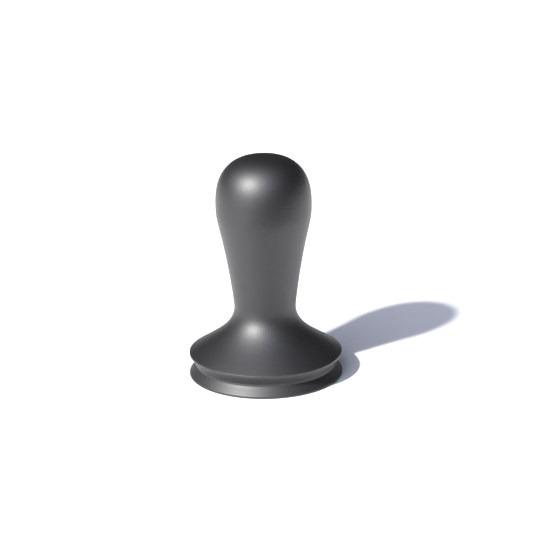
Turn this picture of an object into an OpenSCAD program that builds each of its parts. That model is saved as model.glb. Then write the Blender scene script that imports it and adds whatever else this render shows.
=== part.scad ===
// Screw-together espresso tamper: a turned handle on a flat steel base.
// Origin at the centre of the base's underside, +Z up through the handle, millimetres.
// The base and its stud stay put; the handle, with its thread insert and seal ring, unscrews upwards.

/* [Base] */
// Diameter of the base, which sets the filter basket it fits
base_d = 58; // [57:0.1:58.6]
// Height of the straight band round the bottom edge
band_h = 0.8; // [0.5:0.1:1.5]
// Height of the seam, where the handle sits on the base
seam_z = 4.3; // [4:0.05:4.8]
// Diameter at the seam, the root of the V-groove between base and skirt
seam_d = 53.2; // [50:0.2:55]
// Diameter of the boss that centres the handle
boss_d = 24; // [18:0.5:28]
// Height of the boss above the seam
boss_h = 5.2; // [4.7:0.05:5.5]

/* [Handle] */
// Height of the whole tamper
total_h = 84.6; // [80:0.2:90]
// Diameter of the knob at its widest
knob_d = 35.8; // [33.5:0.1:38]
// Height of the knob's widest point
knob_z = 66; // [65:0.1:70]
// Squareness of the dome, where 2 is a plain ellipse
dome_power = 2.55; // [2:0.05:3]
// Diameter where the handle's hollow side turns into the swell of the knob
swell_d = 32.9; // [30:0.1:33]
// Height where the hollow side turns into the swell of the knob
swell_z = 55.9; // [52:0.1:58]
// Diameter of the neck at its thinnest
neck_d = 23.2; // [20:0.1:25]
// Height of the thinnest point of the neck
neck_z = 26.6; // [26:0.1:32]
// Diameter of the skirt's rim
skirt_d = 57.8; // [56:0.1:58]
// Height of the rim's upper edge
skirt_z = 8.8; // [8.4:0.05:9.4]
// Thickness of the skirt's rim
skirt_t = 0.75; // [0.5:0.05:0.9]
// Slope at which the skirt rises from its rim, in degrees
skirt_slope = 33; // [30:0.5:36]

/* [Screw joint] */
// Outer diameter of the joining thread
thread_d = 8; // [6:1:10]
// Length of the stud
stud_len = 16; // [14:0.5:18]
// Depth of the stud's hole in the base, from the top of the boss
stud_hole = 7; // [6.7:0.1:7.5]
// Outer diameter of the thread insert
insert_d = 12; // [12:0.5:14]
// Length of the thread insert
insert_len = 10; // [8:0.5:11]

/* [Seal ring] */
// Thickness of the ring's round section
ring_t = 2; // [1.5:0.1:2.2]

/* [Hidden] */
$fn = 96;
CUT = 1;                    // how far a cutting shape starts outside the metal

base_r = base_d / 2;
seam_r = seam_d / 2;
skirt_r = skirt_d / 2;
edge_break = 0.2;           // small chamfer round the base's underside
root_land = 0.4;            // straight neck on each side of the seam, at the groove's root
lead_in = 0.5;              // chamfer that guides the boss and the stud in
boss_top = seam_z + boss_h;

recess_gap = 0.3;           // room left over the boss
recess_d = boss_d + 0.1;    // running fit on the boss
recess_top = boss_top + recess_gap;

stud_floor = 0.3;           // room left under the stud
stud_bottom = boss_top - stud_hole + stud_floor;
stud_top = stud_bottom + stud_len;
socket_af = thread_d / 2;   // hexagon socket across its flats
socket_depth = thread_d / 2;

insert_bore = thread_d + 0.1;
insert_top = recess_top + insert_len;
slot_w = 1.5;               // driving slot across the insert's lower end
slot_h = 1.2;
relief_d = thread_d + 0.6;  // drilled hole above the insert
relief_top = insert_top + 3;
drill_tip = relief_d / 2 * tan(31);

ring_z = seam_z + boss_h / 2;
ring_gap = 0.05;            // ring clear of the boss and of its groove
ring_r = boss_d / 2 + ring_gap + ring_t / 2;
groove_d = 2 * (ring_r + ring_t / 2 + ring_gap);
groove_h = ring_t + 0.4;

ANODISED = [0.11, 0.11, 0.12];
COATED_STEEL = [0.22, 0.22, 0.24];
BARE_STEEL = [0.72, 0.73, 0.75];
INSERT_STEEL = [0.62, 0.60, 0.56];
RUBBER = [0.04, 0.04, 0.04];

// A cubic curve through p0 and p3, pulled towards p1 and p2; p0 itself is left out
function curve(p0, p1, p2, p3, n = 14) = [
    for (i = [1:n]) let (t = i / n, s = 1 - t)
        s * s * s * p0 + 3 * s * s * t * p1 + 3 * s * t * t * p2 + t * t * t * p3
];

// Points that round the corner c between the directions u and v with radius r
function rounded(c, u, v, r, n = 4) =
    let (half = acos(u * v) / 2, centre = c + (u + v) / norm(u + v) * r / sin(half),
         from = c + u * r / tan(half) - centre, to = c + v * r / tan(half) - centre)
    [for (i = [0:n]) let (w = from * (n - i) + to * i) centre + w / norm(w) * r];

// Quarter of a superellipse, from the knob's widest point to the top
function dome(n = 18) = [
    for (i = [1:n]) let (a = 90 * i / n, p = 2 / dome_power)
        [knob_d / 2 * pow(cos(a), p), knob_z + (total_h - knob_z) * pow(sin(a), p)]
];

// Half of the handle's outline, from the middle of the seam out and up to the top
function handle_outline() =
    let (
        edge_round = 0.2,
        rim_low = [skirt_r, skirt_z - skirt_t],
        rim_high = [skirt_r, skirt_z],
        root = [seam_r, seam_z + root_land],
        under = [-0.62, -0.785],   // direction of the underside at the rim, in and down
        low_arc = rounded(rim_low, under, [0, 1], edge_round),
        slope = [-cos(skirt_slope), sin(skirt_slope)],
        high_arc = rounded(rim_high, [0, -1], slope, edge_round),
        skirt = high_arc[len(high_arc) - 1],
        neck = [neck_d / 2, neck_z],
        swell = [swell_d / 2, swell_z],
        lean = [0.232, 1],         // direction of the side at the swell, out and up
        knob = [knob_d / 2, knob_z]
    )
    concat(
        [[0, seam_z], [seam_r, seam_z], root],
        curve(root, root + [0.65, 1.25], low_arc[0] + 1.4 * under, low_arc[0], 8),
        [for (i = [1:len(low_arc) - 1]) low_arc[i]],
        high_arc,
        curve(skirt, skirt + 10 * slope, neck - [0, 8], neck),
        curve(neck, neck + [0, 1.2], swell - 13.5 * lean, swell),
        curve(swell, swell + 5.1 * lean, knob - [0, 3.5], knob),
        dome()
    );

// Steel disc with a coned flange, and a boss with a blind threaded hole
module base() {
    color(COATED_STEEL)
    difference() {
        rotate_extrude() polygon([
            [0, 0], [base_r - edge_break, 0], [base_r, edge_break], [base_r, band_h],
            [seam_r, seam_z - root_land], [seam_r, seam_z], [boss_d / 2, seam_z],
            [boss_d / 2, boss_top - lead_in], [boss_d / 2 - lead_in, boss_top], [0, boss_top]
        ]);
        translate([0, 0, boss_top - stud_hole]) cylinder(d = thread_d, h = stud_hole + CUT);
    }
}

// Headless screw with chamfered ends and a hexagon socket in its upper end
module joining_stud() {
    tip = 0.8;
    tip_d = thread_d - 2 * tip;
    color(BARE_STEEL)
    difference() {
        union() {
            translate([0, 0, stud_bottom]) cylinder(d1 = tip_d, d2 = thread_d, h = tip);
            translate([0, 0, stud_bottom + tip]) cylinder(d = thread_d, h = stud_len - 2 * tip);
            translate([0, 0, stud_top - tip]) cylinder(d1 = thread_d, d2 = tip_d, h = tip);
        }
        translate([0, 0, stud_top - socket_depth])
            cylinder(d = socket_af / cos(30), h = socket_depth + CUT, $fn = 6);
    }
}

// Steel sleeve that carries the handle's thread, slotted for its driving tool
module thread_insert() {
    color(INSERT_STEEL)
    difference() {
        translate([0, 0, recess_top]) cylinder(d = insert_d, h = insert_len);
        translate([0, 0, recess_top - CUT]) cylinder(d = insert_bore, h = insert_len + 2 * CUT);
        translate([-insert_d, -slot_w / 2, recess_top - CUT]) cube([2 * insert_d, slot_w, slot_h + CUT]);
    }
}

// Round rubber ring in the groove of the handle's recess
module seal_ring() {
    color(RUBBER)
    rotate_extrude() translate([ring_r, ring_z]) circle(d = ring_t);
}

// One solid turning: knob, neck and skirt, hollowed below for the boss and the screw
module handle() {
    color(ANODISED)
    difference() {
        rotate_extrude() polygon(handle_outline());
        translate([0, 0, seam_z - CUT]) cylinder(d = recess_d, h = recess_top - seam_z + CUT);
        translate([0, 0, seam_z]) cylinder(d1 = recess_d + 2 * lead_in, d2 = recess_d, h = lead_in);
        translate([0, 0, ring_z - groove_h / 2]) cylinder(d = groove_d, h = groove_h);
        translate([0, 0, recess_top - CUT]) cylinder(d = insert_d, h = insert_len + CUT);
        translate([0, 0, insert_top - CUT]) cylinder(d = relief_d, h = relief_top - insert_top + CUT);
        translate([0, 0, relief_top]) cylinder(d1 = relief_d, d2 = 0, h = drill_tip);
    }
}

base();
joining_stud();
thread_insert();
seal_ring();
handle();
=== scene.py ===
"""Looks of the espresso tamper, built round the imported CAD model.

Metres, +Z up, origin at the centre of the base's underside, as in the CAD.
Every piece is a turned surface: an outline of (radius, height) points swept round Z. The threads
and the hexagon socket come from letting the radius change with the angle, and only the insert's
driving slot is cut afterwards.
"""

import math

import bpy
from mathutils import Matrix, Vector


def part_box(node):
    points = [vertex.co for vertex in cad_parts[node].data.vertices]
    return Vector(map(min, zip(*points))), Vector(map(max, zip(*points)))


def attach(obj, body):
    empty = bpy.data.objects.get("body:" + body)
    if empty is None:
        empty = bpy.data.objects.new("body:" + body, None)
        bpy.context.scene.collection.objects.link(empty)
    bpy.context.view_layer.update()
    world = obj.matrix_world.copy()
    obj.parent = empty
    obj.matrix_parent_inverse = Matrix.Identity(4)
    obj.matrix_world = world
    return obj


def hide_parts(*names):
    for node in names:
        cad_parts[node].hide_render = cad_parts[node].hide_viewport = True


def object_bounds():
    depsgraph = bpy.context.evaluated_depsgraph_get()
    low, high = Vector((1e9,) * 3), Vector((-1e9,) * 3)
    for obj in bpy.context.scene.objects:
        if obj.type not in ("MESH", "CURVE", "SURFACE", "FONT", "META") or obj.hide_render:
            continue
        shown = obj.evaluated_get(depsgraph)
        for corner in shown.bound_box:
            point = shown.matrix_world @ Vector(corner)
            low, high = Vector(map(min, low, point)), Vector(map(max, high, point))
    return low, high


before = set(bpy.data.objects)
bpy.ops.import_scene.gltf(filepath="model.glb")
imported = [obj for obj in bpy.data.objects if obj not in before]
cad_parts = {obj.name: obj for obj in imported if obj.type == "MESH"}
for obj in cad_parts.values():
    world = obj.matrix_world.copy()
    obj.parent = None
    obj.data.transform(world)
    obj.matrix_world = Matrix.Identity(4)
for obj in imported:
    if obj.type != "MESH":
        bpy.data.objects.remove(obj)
cad_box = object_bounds()

MM = 0.001

# ---------------------------------------------------------------- sizes, from the frame

_, base_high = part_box("base")
handle_low, handle_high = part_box("handle")
stud_low, stud_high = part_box("joining_stud")
insert_low, insert_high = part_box("thread_insert")
ring_low, ring_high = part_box("seal_ring")

BASE_R = base_high.x
BOSS_TOP = base_high.z
SEAM_Z = handle_low.z
SKIRT_R = handle_high.x
TOP_Z = handle_high.z
STUD_R = stud_high.x
INSERT_R = insert_high.x
RING_T = ring_high.z - ring_low.z
RING_Z = (ring_high.z + ring_low.z) / 2
RING_R = ring_high.x - RING_T / 2
CLEARANCE = 0.05 * MM            # radial clearance of every turning fit
BOSS_R = RING_R - RING_T / 2 - CLEARANCE

# What the frame's boxes don't tell, repeated from the CAD
BAND_H = 0.8 * MM
EDGE_BREAK = 0.2 * MM            # small chamfer round the base's underside, rounded here
SEAM_R = 26.6 * MM
ROOT_LAND = 0.4 * MM
SKIRT_Z = 8.8 * MM
SKIRT_T = 0.75 * MM
SKIRT_SLOPE = math.radians(33)
ROOT_PULL = Vector((0.65, 1.25)) * MM      # how the cove leaves the groove's root
UNDER = Vector((-0.62, -0.785)) * MM       # direction of the underside at the rim, in and down
LEAN = Vector((0.232, 1)) * MM             # direction of the side at the swell, out and up
NECK = Vector((11.6, 26.6)) * MM
SWELL = Vector((16.45, 55.9)) * MM
KNOB = Vector((17.9, 66)) * MM
DOME_POWER = 2.55
STUD_HOLE = 7 * MM
SOCKET_AF = 4 * MM
SOCKET_DEPTH = 4 * MM
LEAD_IN = 0.5 * MM               # chamfer that guides the boss and the stud in
GROOVE_PLAY = 0.4 * MM           # the ring's groove is this much higher than the ring
RELIEF_R = 4.3 * MM
RELIEF_H = 3 * MM
DRILL_SLOPE = math.radians(31)   # of the cone that the drill leaves above the relief
SLOT_W = 1.5 * MM                # driving slot across the insert's lower end
SLOT_H = 1.2 * MM

# The threads, which the CAD leaves as plain cylinders
PITCH = 1.25 * MM
SCREW_DEPTH = 0.75 * MM
NUT_DEPTH = 0.66 * MM
NUT_PLAY = 0.1 * MM              # opens a nut's flanks, so that the screw turns in it
ANCHOR_DEPTH = 0.5 * MM          # the insert's outer thread
INSERT_CHAMFER = 0.3 * MM
STUD_CHAMFER = 0.8 * MM
SOCKET_CHAMFER = 0.15 * MM
SOCKET_POINT = 0.6 * MM          # depth of the drill point below the socket's floor
HAIR = 0.01 * MM                 # keeps a thread's end off the flat beside it

# Edge radii: the rim's is the CAD's own, and the CAD leaves the other edges sharp
RIM_ROUND = 0.2 * MM
BAND_ROUND = 0.6 * MM
FINE_ROUND = 0.12 * MM

INNER_SEAM_R = SEAM_R - 1 * MM   # where the handle's inner and outer outlines meet
SHARP = math.radians(32)         # edges steeper than this stay crisp
NEARLY_FLAT = math.radians(89.5)  # half the angle of a corner too flat to round
TURN_STEPS = 192                 # steps round a turned piece
THREAD_STEPS = 96                # steps round a threaded surface
THREAD_ROWS = 20                 # rows for each turn of thread


# ---------------------------------------------------------------- outlines

def curve(p0, p1, p2, p3, steps=40):
    """A cubic curve from p0 to p3, pulled towards p1 and p2, without its first point."""
    out = []
    for i in range(1, steps + 1):
        t = i / steps
        s = 1 - t
        out.append(s ** 3 * p0 + 3 * s * s * t * p1 + 3 * s * t * t * p2 + t ** 3 * p3)
    return out


def rounded(outline, radius, steps=5):
    """The outline with its corners rounded: radius is one number, or one for each point."""
    radii = radius if isinstance(radius, list) else [radius] * len(outline)
    out = [outline[0]]
    for before, corner, after, r in zip(outline, outline[1:], outline[2:], radii[1:]):
        u = (before - corner).normalized()
        v = (after - corner).normalized()
        half = u.angle(v) / 2
        if r == 0 or half > NEARLY_FLAT:
            out.append(corner)
            continue
        reach = r / math.tan(half)
        centre = corner + (u + v).normalized() * (r / math.sin(half))
        start = corner + u * reach - centre
        end = corner + v * reach - centre
        for i in range(steps + 1):
            out.append(centre + start.lerp(end, i / steps).normalized() * r)
    return out + [outline[-1]]


def points(*pairs):
    """The pairs of numbers as vectors."""
    return [Vector(p) for p in pairs]


def handle_outside():
    """From the seam's inner edge out over the rim and up to the top of the knob.

    In the curves, a number before a direction says how far it pulls, in millimetres.
    """
    up = Vector((0, 1)) * MM
    slope = Vector((-math.cos(SKIRT_SLOPE), math.sin(SKIRT_SLOPE))) * MM
    root = Vector((SEAM_R, SEAM_Z + ROOT_LAND))
    rim_low = Vector((SKIRT_R, SKIRT_Z - SKIRT_T))
    rim_high = Vector((SKIRT_R, SKIRT_Z))
    round_reach = RIM_ROUND * math.tan((math.pi / 2 - SKIRT_SLOPE) / 2)
    skirt = rim_high + slope.normalized() * round_reach
    low = rounded([rim_low + UNDER, rim_low, rim_high], RIM_ROUND, 8)[1:-1]
    cove = curve(root, root + ROOT_PULL, low[0] + 1.4 * UNDER, low[0], 24)
    out = rounded(points((INNER_SEAM_R, SEAM_Z), (SEAM_R, SEAM_Z)) + [root, cove[0]],
                  [0, FINE_ROUND / 2, FINE_ROUND, 0])[1:-1]
    out += cove + low[1:]
    out += rounded([rim_low, rim_high, skirt + 0.1 * slope], RIM_ROUND, 8)[1:-1]
    out += curve(skirt, skirt + 10 * slope, NECK - 8 * up, NECK, 60)
    out += curve(NECK, NECK + 1.2 * up, SWELL - 13.5 * LEAN, SWELL, 50)
    out += curve(SWELL, SWELL + 5.1 * LEAN, KNOB - 3.5 * up, KNOB, 30)
    return out + dome()


def dome(steps=48):
    """Quarter of a superellipse, from the knob's widest point to the top."""
    out = []
    for i in range(1, steps):
        a = math.pi / 2 * i / steps
        r = KNOB.x * math.cos(a) ** (2 / DOME_POWER)
        out.append(Vector((r, KNOB.y + (TOP_Z - KNOB.y) * math.sin(a) ** (2 / DOME_POWER))))
    return out + [Vector((0, TOP_Z))]


def handle_inside():
    """From the tip of the drilled hole down through the recess to the seam's inner edge."""
    recess_r = BOSS_R + CLEARANCE
    recess_top = insert_low.z
    relief_top = insert_high.z + RELIEF_H
    tip = relief_top + RELIEF_R * math.tan(DRILL_SLOPE)
    groove_r = RING_R + RING_T / 2 + CLEARANCE
    groove_h = RING_T + GROOVE_PLAY
    return rounded(points(
        (0, tip), (RELIEF_R, relief_top), (RELIEF_R, insert_high.z), (INSERT_R, insert_high.z),
        (INSERT_R, recess_top), (recess_r, recess_top),
        (recess_r, RING_Z + groove_h / 2), (groove_r, RING_Z + groove_h / 2),
        (groove_r, RING_Z - groove_h / 2), (recess_r, RING_Z - groove_h / 2),
        (recess_r, SEAM_Z + LEAD_IN), (recess_r + LEAD_IN, SEAM_Z), (INNER_SEAM_R, SEAM_Z),
    ), FINE_ROUND, 2)[:-1]


# ---------------------------------------------------------------- meshes

def thread_radius(crest, root, grow=0.0):
    """Radius at height z and angle a of a right-hand metric thread; grow opens it for a nut."""
    low, high = min(crest, root), max(crest, root)

    def radius(z, a):
        turn = (z / PITCH - a / math.tau + 0.5) % 1 - 0.5
        flank = high + PITCH / 16 * math.sqrt(3) - abs(turn) * PITCH * math.sqrt(3) + grow
        return min(max(flank, low), high)

    return radius


def turned(name, outline, steps=TURN_STEPS, closed=False):
    """A surface of revolution round Z.

    An outline point is (r, z), or (r, z, follow) where follow(z, angle, r) gives the radius.
    """
    verts, faces, rings = [], [], []
    for p in outline:
        follow = p[2] if len(p) > 2 else None
        if p[0] == 0:
            rings.append([len(verts)])
            verts.append((0, 0, p[1]))
            continue
        rings.append(list(range(len(verts), len(verts) + steps)))
        for i in range(steps):
            a = math.tau * i / steps
            r = follow(p[1], a, p[0]) if follow else p[0]
            verts.append((r * math.cos(a), r * math.sin(a), p[1]))
    pairs = list(zip(rings, rings[1:]))
    if closed:
        pairs.append((rings[-1], rings[0]))
    for low, high in pairs:
        for i in range(steps):
            j = (i + 1) % steps
            if len(low) == 1:
                faces.append((low[0], high[j], high[i]))
            elif len(high) == 1:
                faces.append((low[i], low[j], high[0]))
            else:
                faces.append((low[i], low[j], high[j], high[i]))
    mesh = bpy.data.meshes.new(name)
    mesh.from_pydata(verts, [], faces)
    mesh.update()
    piece = bpy.data.objects.new(name, mesh)
    bpy.context.scene.collection.objects.link(piece)
    for polygon in mesh.polygons:
        polygon.use_smooth = True
    mesh.set_sharp_from_angle(angle=SHARP)
    return piece


def threaded_rows(z_low, z_high, r_low, r_high, radius, inner):
    """Outline rows of a threaded stretch, ending at r_low and r_high in 45 degree chamfers."""

    def follow(height, a, edge):
        r = radius(height, a)
        return max(r, edge) if inner else min(r, edge)

    count = round((z_high - z_low) / PITCH * THREAD_ROWS)
    rows = []
    for i in range(count + 1):
        z = z_low + (z_high - z_low) * i / count
        if inner:
            limit = max(r_low - (z - z_low), r_high - (z_high - z))
        else:
            limit = min(r_low + (z - z_low), r_high + (z_high - z))
        rows.append((limit, z, follow))
    return rows


def finish_piece(piece, node, body, material):
    """Gives the piece its material, the body it rides on and the CAD node it replaces."""
    piece.data.materials.append(material)
    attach(piece, body)
    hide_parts(node)
    return piece


def make_handle():
    return turned("tamper_handle", handle_inside() + handle_outside())


def make_base():
    """Flat underside, thin band, coned flange, boss, and the threaded blind hole."""
    outside = rounded(points(
        (0, 0), (BASE_R, 0), (BASE_R, BAND_H), (SEAM_R, SEAM_Z - ROOT_LAND), (SEAM_R, SEAM_Z),
        (BOSS_R, SEAM_Z), (BOSS_R, BOSS_TOP - LEAD_IN), (BOSS_R - LEAD_IN, BOSS_TOP),
        (STUD_R + LEAD_IN, BOSS_TOP),
    ), [0, EDGE_BREAK, BAND_ROUND, FINE_ROUND, FINE_ROUND / 2,
        FINE_ROUND, FINE_ROUND, FINE_ROUND, 0])
    hole_bottom = BOSS_TOP - STUD_HOLE
    thread = thread_radius(STUD_R + CLEARANCE, STUD_R - NUT_DEPTH, NUT_PLAY)
    rows = threaded_rows(hole_bottom, BOSS_TOP - HAIR, STUD_R - NUT_DEPTH,
                         STUD_R + LEAD_IN, thread, True)
    return turned("tamper_base", outside + rows[::-1] + [(0, hole_bottom)])


def make_stud():
    """Headless M8 screw with a hexagon socket in its upper end."""
    thread = thread_radius(STUD_R, STUD_R - SCREW_DEPTH)
    tip_r = STUD_R - STUD_CHAMFER
    rows = threaded_rows(stud_low.z, stud_high.z, tip_r, tip_r, thread, False)

    def hexagon(_z, a, _r):
        wedge = (a + math.pi / 6) % (math.pi / 3) - math.pi / 6
        return SOCKET_AF / 2 / math.cos(wedge)

    floor_z = stud_high.z - SOCKET_DEPTH
    mouth_r = SOCKET_AF / math.sqrt(3) + SOCKET_CHAMFER
    socket = [(mouth_r, stud_high.z), (mouth_r, stud_high.z - SOCKET_CHAMFER, hexagon),
              (mouth_r, floor_z, hexagon), (0, floor_z - SOCKET_POINT)]
    return turned("tamper_stud", [(0, stud_low.z), *rows, *socket], THREAD_STEPS)


def make_insert():
    """Sleeve with the handle's thread inside and a fine anchoring thread outside."""
    low, high = insert_low.z, insert_high.z
    mouth_r = STUD_R + INSERT_CHAMFER
    inner = thread_radius(STUD_R + CLEARANCE, STUD_R - NUT_DEPTH, NUT_PLAY)
    rows = threaded_rows(low + HAIR, high - HAIR, mouth_r, mouth_r, inner, True)
    end_r = INSERT_R - INSERT_CHAMFER
    outer = thread_radius(INSERT_R, INSERT_R - ANCHOR_DEPTH)
    outside = threaded_rows(low, high, end_r, end_r, outer, False)
    piece = turned("tamper_thread_insert", [*outside, *rows[::-1]], THREAD_STEPS, closed=True)
    cut_slot(piece, low)
    return piece


def cut_slot(piece, low):
    """Cuts the driving slot right across the piece's lower end."""
    x, y, z = 1.2 * INSERT_R, SLOT_W / 2, SLOT_H
    corners = [(sx * x, sy * y, low + sz) for sx in (-1, 1) for sy in (-1, 1) for sz in (-z, z)]
    sides = [(0, 1, 3, 2), (4, 6, 7, 5), (0, 4, 5, 1), (2, 3, 7, 6), (0, 2, 6, 4), (1, 5, 7, 3)]
    mesh = bpy.data.meshes.new("slot_cutter")
    mesh.from_pydata(corners, [], sides)
    cutter = bpy.data.objects.new("slot_cutter", mesh)
    bpy.context.scene.collection.objects.link(cutter)
    cut = piece.modifiers.new("slot", "BOOLEAN")
    cut.object = cutter
    cut.solver = "EXACT"
    whole = piece.data
    evaluated = piece.evaluated_get(bpy.context.evaluated_depsgraph_get())
    piece.data = bpy.data.meshes.new_from_object(evaluated)
    piece.modifiers.clear()
    bpy.data.objects.remove(cutter)
    bpy.data.meshes.remove(whole)
    piece.data.set_sharp_from_angle(angle=SHARP)


def make_ring():
    """Round rubber ring with the faint moulding flash of its two half moulds."""
    steps = 40
    flash_h = 0.015 * MM
    flash_w = 0.08               # half width, as a share of the section's radius
    outline = []
    for i in range(steps):
        a = math.tau * i / steps
        r = RING_T / 2 - flash_h + flash_h * math.exp(-(math.sin(a) / flash_w) ** 2)
        outline.append((RING_R + r * math.cos(a), RING_Z + r * math.sin(a)))
    return turned("tamper_seal_ring", outline, closed=True)


# ---------------------------------------------------------------- materials

def new_material(name):
    """A new material; returns it, its node tree, its shader and the object's coordinates."""
    material = bpy.data.materials.new(name)
    material.use_nodes = True
    tree = material.node_tree
    shader = tree.nodes["Principled BSDF"]
    coords = tree.nodes.new("ShaderNodeTexCoord")
    return material, tree, shader, coords.outputs["Object"]


def noise(tree, where, scale, detail=2.0, roughness=0.5):
    """Noise of about 1/scale metres a feature."""
    node = tree.nodes.new("ShaderNodeTexNoise")
    node.inputs["Scale"].default_value = scale
    node.inputs["Detail"].default_value = detail
    node.inputs["Roughness"].default_value = roughness
    tree.links.new(where, node.inputs["Vector"])
    return node.outputs["Fac"]


def ramp(tree, value, stops):
    """Value to colour through the stops, each (position, colour)."""
    node = tree.nodes.new("ShaderNodeValToRGB")
    elements = node.color_ramp.elements
    while len(elements) < len(stops):
        elements.new(0.5)
    for element, (position, colour) in zip(elements, stops):
        element.position = position
        element.color = (*colour, 1)
    tree.links.new(value, node.inputs["Fac"])
    return node.outputs["Color"]


def spread(tree, value, low, high):
    """Value from 0..1 stretched to low..high."""
    node = tree.nodes.new("ShaderNodeMapRange")
    node.inputs["To Min"].default_value = low
    node.inputs["To Max"].default_value = high
    tree.links.new(value, node.inputs["Value"])
    return node.outputs["Result"]


def math_node(tree, operation, value, second):
    node = tree.nodes.new("ShaderNodeMath")
    node.operation = operation
    tree.links.new(value, node.inputs[0])
    node.inputs[1].default_value = second
    return node.outputs[0]


def bump(tree, height, distance, strength=1.0, below=None):
    node = tree.nodes.new("ShaderNodeBump")
    node.inputs["Distance"].default_value = distance
    node.inputs["Strength"].default_value = strength
    tree.links.new(height, node.inputs["Height"])
    if below:
        tree.links.new(below, node.inputs["Normal"])
    return node.outputs["Normal"]


def radial_coords(tree, where):
    """(height, radius, 0): the same all round the axis, as a lathe tool leaves it."""
    split = tree.nodes.new("ShaderNodeSeparateXYZ")
    tree.links.new(where, split.inputs[0])
    flat = tree.nodes.new("ShaderNodeCombineXYZ")
    tree.links.new(split.outputs["X"], flat.inputs["X"])
    tree.links.new(split.outputs["Y"], flat.inputs["Y"])
    length = tree.nodes.new("ShaderNodeVectorMath")
    length.operation = "LENGTH"
    tree.links.new(flat.outputs[0], length.inputs[0])
    out = tree.nodes.new("ShaderNodeCombineXYZ")
    tree.links.new(split.outputs["Z"], out.inputs["X"])
    tree.links.new(length.outputs["Value"], out.inputs["Y"])
    return out.outputs[0]


def anodised_material():
    """Bead-blasted aluminium under a black anodised skin."""
    material, tree, shader, where = new_material("black_anodising")
    patches = noise(tree, where, 90, 3)
    tint = ramp(tree, patches, [(0.3, (0.0004, 0.0004, 0.0005)), (0.7, (0.0012, 0.0012, 0.0014))])
    tree.links.new(tint, shader.inputs["Base Color"])
    tree.links.new(spread(tree, noise(tree, where, 220, 2), 0.53, 0.575),
                   shader.inputs["Roughness"])
    shader.inputs["IOR"].default_value = 1.65
    shader.inputs["Coat Weight"].default_value = 0.75
    shader.inputs["Coat Roughness"].default_value = 0.50
    blast = noise(tree, where, 9000, 2, 0.6)
    mottle = noise(tree, where, 1700, 3, 0.6)
    soft = bump(tree, mottle, 0.00006)
    grain = bump(tree, blast, 0.000004, 0.6, soft)
    tree.links.new(grain, shader.inputs["Normal"])
    tree.links.new(soft, shader.inputs["Coat Normal"])
    return material


def coated_steel_material():
    """Turned steel with a thin black coating, which keeps the tool's fine lines."""
    material, tree, shader, where = new_material("black_coating")
    lines = radial_coords(tree, where)
    fine = noise(tree, lines, 5200, 2, 0.7)
    broad = noise(tree, lines, 1500, 3)
    tint = ramp(tree, fine, [(0.3, (0.0004, 0.0004, 0.0005)), (0.7, (0.0016, 0.0016, 0.0018))])
    tree.links.new(tint, shader.inputs["Base Color"])
    shader.inputs["IOR"].default_value = 1.81
    tree.links.new(spread(tree, broad, 0.53, 0.61), shader.inputs["Roughness"])
    waves = bump(tree, broad, 0.00002)
    tree.links.new(bump(tree, fine, 0.000006, 0.7, waves), shader.inputs["Normal"])
    return material


def bare_steel_material(name, tint_low, tint_high):
    """Bright machined steel with fine tool marks."""
    material, tree, shader, where = new_material(name)
    marks = noise(tree, radial_coords(tree, where), 6000, 2, 0.6)
    smudges = noise(tree, where, 400, 2)
    tree.links.new(ramp(tree, smudges, [(0.3, tint_low), (0.7, tint_high)]),
                   shader.inputs["Base Color"])
    shader.inputs["Metallic"].default_value = 1.0
    tree.links.new(spread(tree, marks, 0.24, 0.38), shader.inputs["Roughness"])
    tree.links.new(bump(tree, marks, 0.000003, 0.5), shader.inputs["Normal"])
    return material


def rubber_material():
    """Moulded black rubber with a faint bloom."""
    material, tree, shader, where = new_material("black_rubber")
    bloom = noise(tree, where, 700, 3)
    tint = ramp(tree, bloom, [(0.35, (0.012, 0.012, 0.012)), (0.75, (0.030, 0.030, 0.029))])
    tree.links.new(tint, shader.inputs["Base Color"])
    tree.links.new(spread(tree, bloom, 0.45, 0.65), shader.inputs["Roughness"])
    grain = noise(tree, where, 6000, 2)
    tree.links.new(bump(tree, grain, 0.000004, 0.5), shader.inputs["Normal"])
    return material


# ---------------------------------------------------------------- stage, light and camera

KEY_AZIMUTH = math.radians(-45.2)      # left of the camera
KEY_ELEVATION = math.radians(40)
KEY_STRENGTH = 6.6
KEY_ANGLE = math.radians(3.5)
HALO_AZIMUTH = math.radians(-41.5)     # soft ring of light round the key
HALO_ELEVATION = math.radians(41)
HALO_STRENGTH = 0.57
HALO_ANGLE = math.radians(50)
GLOW_AZIMUTH = math.radians(-26)
GLOW_ELEVATION = math.radians(49)
GLOW_POWER = 4.7
GLOW_LEVEL = 1.70
AMBIENT_LEVEL = 0.003
SKY_TINT = (0.90, 0.97, 1.25)
SUN_COLOUR = (1.0, 0.985, 0.96)
WALL_COLOUR = (0.92, 0.92, 0.92, 1)
FLAG = (-0.06, 0.8, -0.12, 0.08)       # left, right, front and top
FLOOR_SIZE = 4.0                       # from the middle to each edge
FLOOR_GAP = 0.02 * MM                  # keeps the floor off the base's underside

CAMERA_ELEVATION = math.radians(17.55)
CAMERA_DISTANCE = 0.7
CAMERA_TARGET = Vector((0, 0, 0.044))
CAMERA_LENS = 126.5
CAMERA_ROLL = math.radians(0.82)
AIM_RIGHT = 0.00075
AIM_DOWN = 0.00212


def direction(azimuth, elevation):
    """Unit vector towards a place in the sky; azimuth 0 is the camera's side, and + is right."""
    return Vector((math.sin(azimuth) * math.cos(elevation),
                   -math.cos(azimuth) * math.cos(elevation), math.sin(elevation)))


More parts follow.
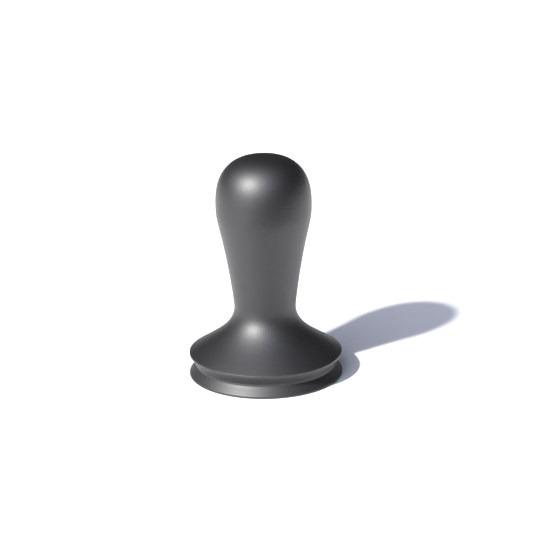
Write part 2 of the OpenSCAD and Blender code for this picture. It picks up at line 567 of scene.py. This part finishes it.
def make_floor():
    mesh = bpy.data.meshes.new("floor")
    z = cad_box[0].z - FLOOR_GAP
    corners = [(x * FLOOR_SIZE, y * FLOOR_SIZE, z) for x, y in ((-1, -1), (1, -1), (1, 1), (-1, 1))]
    mesh.from_pydata(corners, [], [(0, 1, 2, 3)])
    floor = bpy.data.objects.new("floor", mesh)
    bpy.context.scene.collection.objects.link(floor)
    material, tree, shader, where = new_material("floor_paper")
    mottle = noise(tree, where, 60, 3)
    tint = ramp(tree, mottle, [(0.2, (0.88, 0.88, 0.88)), (0.8, (0.9, 0.9, 0.9))])
    tree.links.new(tint, shader.inputs["Base Color"])
    shader.inputs["Roughness"].default_value = 0.9
    shader.inputs["Specular IOR Level"].default_value = 0.2
    mesh.materials.append(material)


def make_flag():
    """A low dark card in front, as a photographer sets one up. Only reflections show it."""
    left, right, front, top = FLAG
    mesh = bpy.data.meshes.new("flag")
    corners = [(left, front, 0), (right, front, 0), (right, front, top), (left, front, top)]
    mesh.from_pydata(corners, [], [(0, 1, 2, 3)])
    flag = bpy.data.objects.new("flag", mesh)
    bpy.context.scene.collection.objects.link(flag)
    material, _, shader, _ = new_material("flag_card")
    shader.inputs["Base Color"].default_value = (0.01, 0.01, 0.01, 1)
    shader.inputs["Specular IOR Level"].default_value = 0
    mesh.materials.append(material)
    flag.visible_camera = False
    flag.visible_diffuse = False
    flag.visible_shadow = False


def make_world():
    """Dim surroundings with one broad soft glow, as from a high window, and a pale wall."""
    world = bpy.data.worlds.new("surroundings")
    bpy.context.scene.world = world
    world.use_nodes = True
    tree = world.node_tree
    coords = tree.nodes.new("ShaderNodeTexCoord")
    facing = tree.nodes.new("ShaderNodeVectorMath")
    facing.operation = "DOT_PRODUCT"
    facing.inputs[1].default_value = direction(GLOW_AZIMUTH, GLOW_ELEVATION)
    tree.links.new(coords.outputs["Generated"], facing.inputs[0])
    above = math_node(tree, "MAXIMUM", facing.outputs["Value"], 0)
    falloff = math_node(tree, "POWER", above, GLOW_POWER)
    sky = tree.nodes.new("ShaderNodeVectorMath")
    sky.operation = "MULTIPLY_ADD"
    tree.links.new(falloff, sky.inputs[0])
    sky.inputs[1].default_value = Vector(SKY_TINT) * GLOW_LEVEL
    sky.inputs[2].default_value = Vector(SKY_TINT) * AMBIENT_LEVEL
    lighting = tree.nodes["Background"]
    tree.links.new(sky.outputs[0], lighting.inputs["Color"])
    # only the camera sees the wall behind the floor, and it lights nothing
    wall = tree.nodes.new("ShaderNodeBackground")
    wall.inputs["Color"].default_value = WALL_COLOUR
    path = tree.nodes.new("ShaderNodeLightPath")
    choose = tree.nodes.new("ShaderNodeMixShader")
    tree.links.new(path.outputs["Is Camera Ray"], choose.inputs[0])
    tree.links.new(lighting.outputs[0], choose.inputs[1])
    tree.links.new(wall.outputs[0], choose.inputs[2])
    tree.links.new(choose.outputs[0], tree.nodes["World Output"].inputs["Surface"])


def make_sun(name, azimuth, elevation, strength, angle):
    light = bpy.data.lights.new(name, "SUN")
    light.energy = strength
    light.angle = angle
    light.color = SUN_COLOUR
    sun = bpy.data.objects.new(name, light)
    towards = direction(azimuth, elevation)
    sun.rotation_euler = towards.to_track_quat("Z", "Y").to_euler()
    sun.location = towards
    bpy.context.scene.collection.objects.link(sun)


def make_camera():
    data = bpy.data.cameras.new("camera")
    data.lens = CAMERA_LENS
    data.sensor_width = 36
    data.clip_start = 0.01
    data.clip_end = 20
    camera = bpy.data.objects.new("camera", data)
    back = Vector((0, -math.cos(CAMERA_ELEVATION), math.sin(CAMERA_ELEVATION)))
    right = Vector((1, 0, 0))
    up = back.cross(right)
    place = CAMERA_TARGET + back * CAMERA_DISTANCE
    aim = CAMERA_TARGET + right * AIM_RIGHT - up * AIM_DOWN
    turn = (place - aim).to_track_quat("Z", "Y").to_matrix().to_4x4()
    camera.matrix_world = Matrix.Translation(place) @ turn @ Matrix.Rotation(-CAMERA_ROLL, 4, "Z")
    bpy.context.scene.collection.objects.link(camera)
    bpy.context.scene.camera = camera


make_camera()
bpy.context.scene.view_settings.view_transform = "Standard"
make_floor()
make_flag()
make_world()
make_sun("key", KEY_AZIMUTH, KEY_ELEVATION, KEY_STRENGTH, KEY_ANGLE)
make_sun("halo", HALO_AZIMUTH, HALO_ELEVATION, HALO_STRENGTH, HALO_ANGLE)

anodised = anodised_material()
coated = coated_steel_material()
finish_piece(make_handle(), "handle", "handle_body", anodised)
finish_piece(make_base(), "base", "base_body", coated)
finish_piece(make_stud(), "joining_stud", "base_body",
             bare_steel_material("bright_steel", (0.50, 0.50, 0.51), (0.62, 0.62, 0.63)))
finish_piece(make_insert(), "thread_insert", "handle_body",
             bare_steel_material("warm_steel", (0.40, 0.38, 0.34), (0.50, 0.475, 0.43)))
finish_piece(make_ring(), "seal_ring", "ring_carrier", rubber_material())
